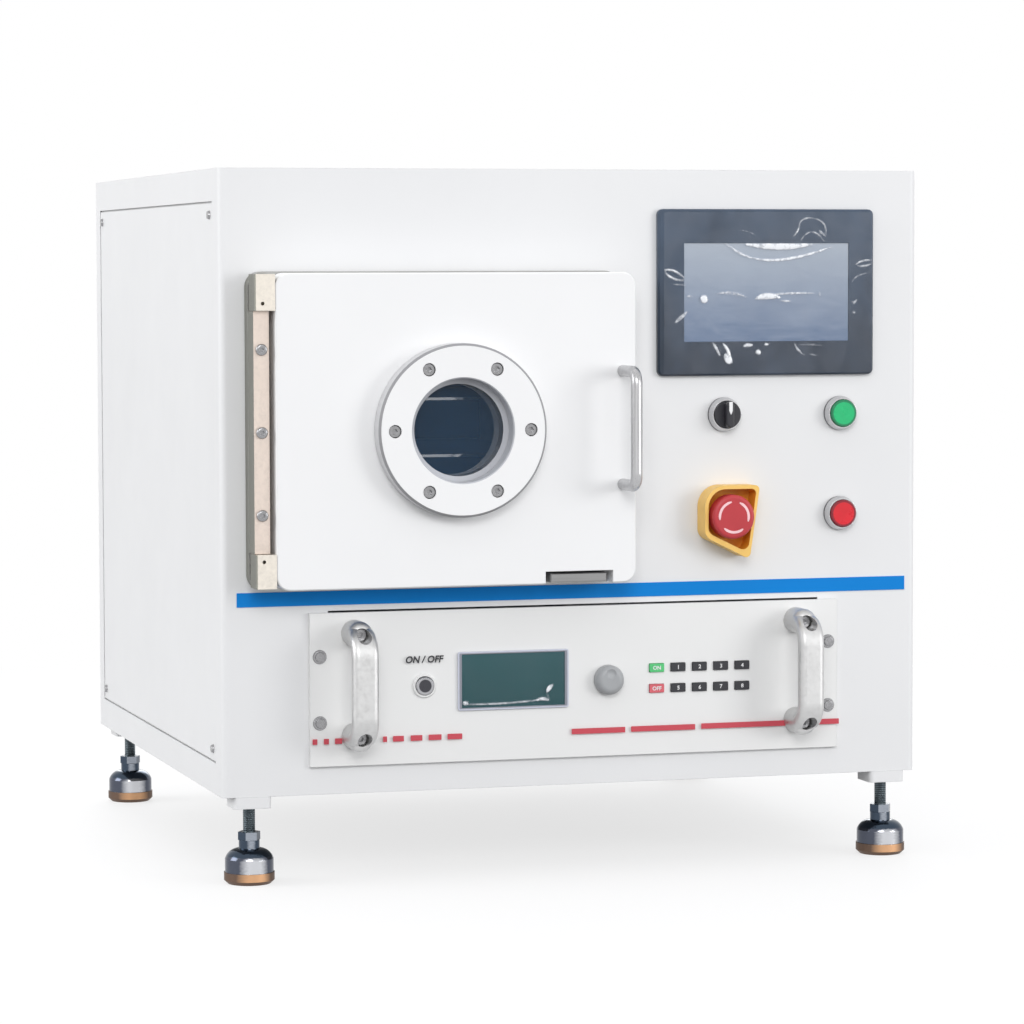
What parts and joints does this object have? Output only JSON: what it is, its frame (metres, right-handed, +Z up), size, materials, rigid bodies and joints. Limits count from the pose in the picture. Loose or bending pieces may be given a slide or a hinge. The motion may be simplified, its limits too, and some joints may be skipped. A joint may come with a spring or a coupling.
{
  "type": "plasma cleaner",
  "caption": "Benchtop plasma cleaner: white cabinet with a hinged chamber door and round window, touch screen, switches, a rack generator panel and levelling feet.",
  "frame": {"origin": "centre of the bounding box on the floor, under the feet", "axes": "+Z up, the front with the door faces -Y, +X to the right seen from the front"},
  "size_m": [0.6384, 0.6924, 0.613],
  "materials": {
    "cabinet_white": "fine powder coat",
    "door_white": "smooth satin paint",
    "stripe_blue": "satin film",
    "raw_aluminium": "machined",
    "hinge_bar": "bead blasted, warm tint",
    "steel": "brushed",
    "bright_screws": "polished",
    "seal_rubber": "smooth",
    "ceramic_white": "fired, matt",
    "glass": "clear",
    "black_plastic": "moulded",
    "switch_metal": "polished",
    "button_green": "moulded",
    "button_red": "moulded",
    "estop_red": "moulded",
    "estop_stem_grey": "moulded",
    "guard_yellow": "moulded",
    "hmi_slate": "moulded",
    "screen": "glossy film",
    "panel_white": "satin paint",
    "cast_handle": "satin cast",
    "lcd": "clear window",
    "power_button_grey": "moulded",
    "dial_grey": "turned, anodised",
    "key_green": "moulded",
    "key_red": "moulded",
    "key_black": "moulded",
    "foot_chrome": "polished"
  },
  "bodies": {
    "cabinet": {"cabinet_shell": "cabinet_white", "side_panel_left": "cabinet_white", "side_panel_right": "cabinet_white", "rear_panel": "cabinet_white", "panel_screws": "bright_screws", "front_stripe": "stripe_blue", "chamber": "raw_aluminium", "chamber_flange": "raw_aluminium", "door_seal": "seal_rubber", "electrode_shelves": "raw_aluminium", "shelf_supports": "ceramic_white", "matching_network": "raw_aluminium", "vacuum_valve": "steel", "vacuum_line": "steel", "gas_lines": "steel", "flow_controllers": "raw_aluminium", "fan_housing": "black_plastic", "mains_inlet": "black_plastic", "hinge_bar": "hinge_bar", "hinge_bar_screws": "bright_screws", "door_catch": "steel", "hmi_bezel": "hmi_slate", "hmi_screen": "screen", "switch_bodies": "switch_metal", "estop_guard": "guard_yellow", "generator_chassis": "steel", "generator_panel": "panel_white", "rack_screws": "bright_screws", "rack_handles": "cast_handle", "lcd_window": "lcd", "foot_blocks": "cabinet_white"},
    "door": {"door_plate": "door_white", "window_ring": "door_white", "window_glass": "glass", "window_screws": "bright_screws", "door_handle": "bright_screws", "hinge_blocks": "raw_aluminium", "hinge_pins": "steel"},
    "green_button": {"green_button": "button_green"},
    "red_button": {"red_button": "button_red"},
    "selector": {"selector_knob": "black_plastic"},
    "estop_plunger": {"estop_stem": "estop_stem_grey"},
    "estop_head": {"estop_head": "estop_red"},
    "power_button": {"power_button": "power_button_grey"},
    "setting_dial": {"setting_dial": "dial_grey"},
    "fan_rotor": {"fan_rotor": "black_plastic"},
    "key_1": {"key_1": "key_green"},
    "key_2": {"key_2": "key_black"},
    "key_3": {"key_3": "key_black"},
    "key_4": {"key_4": "key_black"},
    "key_5": {"key_5": "key_black"},
    "key_6": {"key_6": "key_red"},
    "key_7": {"key_7": "key_black"},
    "key_8": {"key_8": "key_black"},
    "key_9": {"key_9": "key_black"},
    "key_10": {"key_10": "key_black"},
    "foot_front_left": {"foot_front_left": "foot_chrome"},
    "foot_front_right": {"foot_front_right": "foot_chrome"},
    "foot_rear_left": {"foot_rear_left": "foot_chrome"},
    "foot_rear_right": {"foot_rear_right": "foot_chrome"}
  },
  "joints": [
    {"name": "door_hinge", "type": "hinge", "parent": "cabinet", "child": "door", "pos_m": [-0.2885, -0.28975, 0.3897], "axis": [0, 0, -1], "range_deg": [0, 120]},
    {"name": "green_press", "type": "slide", "parent": "cabinet", "child": "green_button", "axis": [0, 1, 0], "range_m": [0, 0.003], "stiffness_N_per_m": 800, "springref_m": -0.001},
    {"name": "red_press", "type": "slide", "parent": "cabinet", "child": "red_button", "axis": [0, 1, 0], "range_m": [0, 0.003], "stiffness_N_per_m": 800, "springref_m": -0.001},
    {"name": "selector_turn", "type": "hinge", "parent": "cabinet", "child": "selector", "pos_m": [0.13555, -0.26375, 0.3984], "axis": [0, 1, 0], "range_deg": [-45, 45]},
    {"name": "estop_press", "type": "slide", "parent": "cabinet", "child": "estop_plunger", "axis": [0, 1, 0], "range_m": [0, 0.004]},
    {"name": "estop_twist", "type": "hinge", "parent": "estop_plunger", "child": "estop_head", "pos_m": [0.13555, -0.26375, 0.3093], "axis": [0, 1, 0], "range_deg": [0, 30], "stiffness_Nm_per_rad": 0.4},
    {"name": "power_press", "type": "slide", "parent": "cabinet", "child": "power_button", "axis": [0, 1, 0], "range_m": [0, 0.002], "stiffness_N_per_m": 800, "springref_m": -0.001},
    {"name": "dial_turn", "type": "hinge", "parent": "cabinet", "child": "setting_dial", "pos_m": [0.0267, -0.26375, 0.1675], "axis": [0, 1, 0], "continuous": true},
    {"name": "fan_spin", "type": "hinge", "parent": "cabinet", "child": "fan_rotor", "pos_m": [0.1995, 0.30575, 0.495], "axis": [0, 1, 0], "continuous": true},
    {"name": "key_1_press", "type": "slide", "parent": "cabinet", "child": "key_1", "axis": [0, 1, 0], "range_m": [0, 0.0008], "stiffness_N_per_m": 900, "springref_m": -0.0005},
    {"name": "key_2_press", "type": "slide", "parent": "cabinet", "child": "key_2", "axis": [0, 1, 0], "range_m": [0, 0.0008], "stiffness_N_per_m": 900, "springref_m": -0.0005},
    {"name": "key_3_press", "type": "slide", "parent": "cabinet", "child": "key_3", "axis": [0, 1, 0], "range_m": [0, 0.0008], "stiffness_N_per_m": 900, "springref_m": -0.0005},
    {"name": "key_4_press", "type": "slide", "parent": "cabinet", "child": "key_4", "axis": [0, 1, 0], "range_m": [0, 0.0008], "stiffness_N_per_m": 900, "springref_m": -0.0005},
    {"name": "key_5_press", "type": "slide", "parent": "cabinet", "child": "key_5", "axis": [0, 1, 0], "range_m": [0, 0.0008], "stiffness_N_per_m": 900, "springref_m": -0.0005},
    {"name": "key_6_press", "type": "slide", "parent": "cabinet", "child": "key_6", "axis": [0, 1, 0], "range_m": [0, 0.0008], "stiffness_N_per_m": 900, "springref_m": -0.0005},
    {"name": "key_7_press", "type": "slide", "parent": "cabinet", "child": "key_7", "axis": [0, 1, 0], "range_m": [0, 0.0008], "stiffness_N_per_m": 900, "springref_m": -0.0005},
    {"name": "key_8_press", "type": "slide", "parent": "cabinet", "child": "key_8", "axis": [0, 1, 0], "range_m": [0, 0.0008], "stiffness_N_per_m": 900, "springref_m": -0.0005},
    {"name": "key_9_press", "type": "slide", "parent": "cabinet", "child": "key_9", "axis": [0, 1, 0], "range_m": [0, 0.0008], "stiffness_N_per_m": 900, "springref_m": -0.0005},
    {"name": "key_10_press", "type": "slide", "parent": "cabinet", "child": "key_10", "axis": [0, 1, 0], "range_m": [0, 0.0008], "stiffness_N_per_m": 900, "springref_m": -0.0005},
    {"name": "foot_front_left_level", "type": "slide", "parent": "cabinet", "child": "foot_front_left", "axis": [0, 0, -1], "range_m": [-0.015, 0.015]},
    {"name": "foot_front_right_level", "type": "slide", "parent": "cabinet", "child": "foot_front_right", "axis": [0, 0, -1], "range_m": [-0.015, 0.015]},
    {"name": "foot_rear_left_level", "type": "slide", "parent": "cabinet", "child": "foot_rear_left", "axis": [0, 0, -1], "range_m": [-0.015, 0.015]},
    {"name": "foot_rear_right_level", "type": "slide", "parent": "cabinet", "child": "foot_rear_right", "axis": [0, 0, -1], "range_m": [-0.015, 0.015]}
  ]
}
